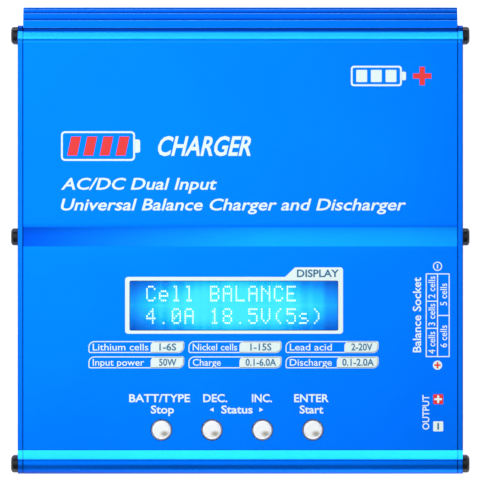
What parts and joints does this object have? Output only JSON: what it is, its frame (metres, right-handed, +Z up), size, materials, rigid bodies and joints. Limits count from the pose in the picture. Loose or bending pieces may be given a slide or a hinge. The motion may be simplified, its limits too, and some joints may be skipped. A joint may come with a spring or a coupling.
{
  "type": "balance battery charger",
  "caption": "Flat blue aluminium balance charger for model batteries, with display, push keys, mains inlet, fan, output jacks, balance sockets and rear cooling fins.",
  "frame": {"origin": "on the floor under the middle of the whole charger's box", "axes": "+X to the right, towards the output sockets; +Y to the rear, where the cooling fins are; +Z up, the display faces up"},
  "size_m": [0.1396, 0.142, 0.0368],
  "materials": {
    "blue_case": "satin anodised blue, fine grain",
    "blue_plates": "satin anodised blue sheet",
    "black_screw": "black oxide, satin",
    "zinc_screw": "bright zinc plate",
    "foot_rubber": "matt black",
    "window": "clear plate",
    "bezel_steel": "matt black",
    "display_glass": "lit blue display with pale characters",
    "light_guide": "milky light guide",
    "board": "green solder mask on laminate",
    "key_white": "glossy white",
    "switch_black": "matt black",
    "standoff_brass": "turned, nickel free",
    "pin_gold": "gold flash",
    "chip_black": "moulded epoxy",
    "thermal_pad": "grey silicone",
    "ferrite": "dark sintered ferrite",
    "powder_core": "yellow painted iron powder",
    "copper_winding": "enamelled copper wire",
    "winding_tape": "yellow polyester tape",
    "capacitor_can": "sleeved aluminium can",
    "socket_white": "natural nylon",
    "jack_red": "moulded red",
    "jack_black": "moulded black",
    "contact_metal": "plated contacts",
    "port_steel": "tinned shell",
    "inlet_black": "moulded thermoplastic",
    "wire_black": "wire insulation",
    "fan_black": "moulded glass-filled plastic",
    "shaft_steel": "ground steel",
    "bearing_bronze": "sintered bronze",
    "print_white": "screen-printed white ink",
    "print_blue": "screen-printed dark blue ink",
    "print_red": "screen-printed red ink",
    "display_light": "pale lit characters of the display",
    "fuse_glass": "glass tube with nickel caps"
  },
  "bodies": {
    "root": {"upper_cover": "blue_case", "lower_tray": "blue_case", "left_end_plate": "blue_plates", "right_end_plate": "blue_plates", "end_plate_screws": "black_screw", "rubber_feet": "foot_rubber", "display_window": "window", "lcd_bezel": "bezel_steel", "lcd_glass": "display_glass", "lcd_backlight": "light_guide", "lcd_board": "board", "switch_bodies": "switch_black", "main_board": "board", "control_board": "board", "supply_board": "board", "balance_board": "board", "board_standoffs": "standoff_brass", "board_screws": "zinc_screw", "pin_headers": "switch_black", "control_chips": "chip_black", "buzzer": "chip_black", "power_transistors": "chip_black", "transistor_pads": "thermal_pad", "inductor_cores": "powder_core", "inductor_windings": "copper_winding", "electrolytic_capacitors": "capacitor_can", "balance_pins": "contact_metal", "black_output_jack": "jack_black", "red_output_jack": "jack_red", "output_jack_sleeves": "contact_metal", "usb_port": "port_steel", "sensor_port": "socket_white", "mains_inlet": "inlet_black", "mains_inlet_blades": "contact_metal", "inlet_screws": "black_screw", "dc_input_jack": "inlet_black", "dc_input_pin": "contact_metal", "fan_frame": "fan_black", "fan_stator": "copper_winding", "fan_bearing": "bearing_bronze", "fan_screws": "black_screw", "transformer_core": "ferrite", "transformer_winding": "winding_tape", "mains_fuse": "fuse_glass", "mains_wires": "wire_black", "balance_socket_2s": "socket_white", "balance_socket_3s": "socket_white", "balance_socket_4s": "socket_white", "balance_socket_5s": "socket_white", "balance_socket_6s": "socket_white"},
    "fan": {"fan_rotor": "fan_black", "fan_shaft": "shaft_steel"},
    "stop_key": {"stop_key_cap": "key_white", "stop_key_stem": "switch_black"},
    "decrease_key": {"decrease_key_cap": "key_white", "decrease_key_stem": "switch_black"},
    "increase_key": {"increase_key_cap": "key_white", "increase_key_stem": "switch_black"},
    "start_key": {"start_key_cap": "key_white", "start_key_stem": "switch_black"}
  },
  "joints": [
    {"name": "stop_key_press", "type": "slide", "parent": "root", "child": "stop_key", "axis": [0, 0, -1], "range_m": [0, 0.0003], "stiffness_N_per_m": 400, "springref_m": -0.0005},
    {"name": "decrease_key_press", "type": "slide", "parent": "root", "child": "decrease_key", "axis": [0, 0, -1], "range_m": [0, 0.0003], "stiffness_N_per_m": 400, "springref_m": -0.0005},
    {"name": "increase_key_press", "type": "slide", "parent": "root", "child": "increase_key", "axis": [0, 0, -1], "range_m": [0, 0.0003], "stiffness_N_per_m": 400, "springref_m": -0.0005},
    {"name": "start_key_press", "type": "slide", "parent": "root", "child": "start_key", "axis": [0, 0, -1], "range_m": [0, 0.0003], "stiffness_N_per_m": 400, "springref_m": -0.0005},
    {"name": "fan_spin", "type": "hinge", "parent": "root", "child": "fan", "pos_m": [-0.061, -0.02, 0.01885], "axis": [1, 0, 0], "continuous": true}
  ]
}
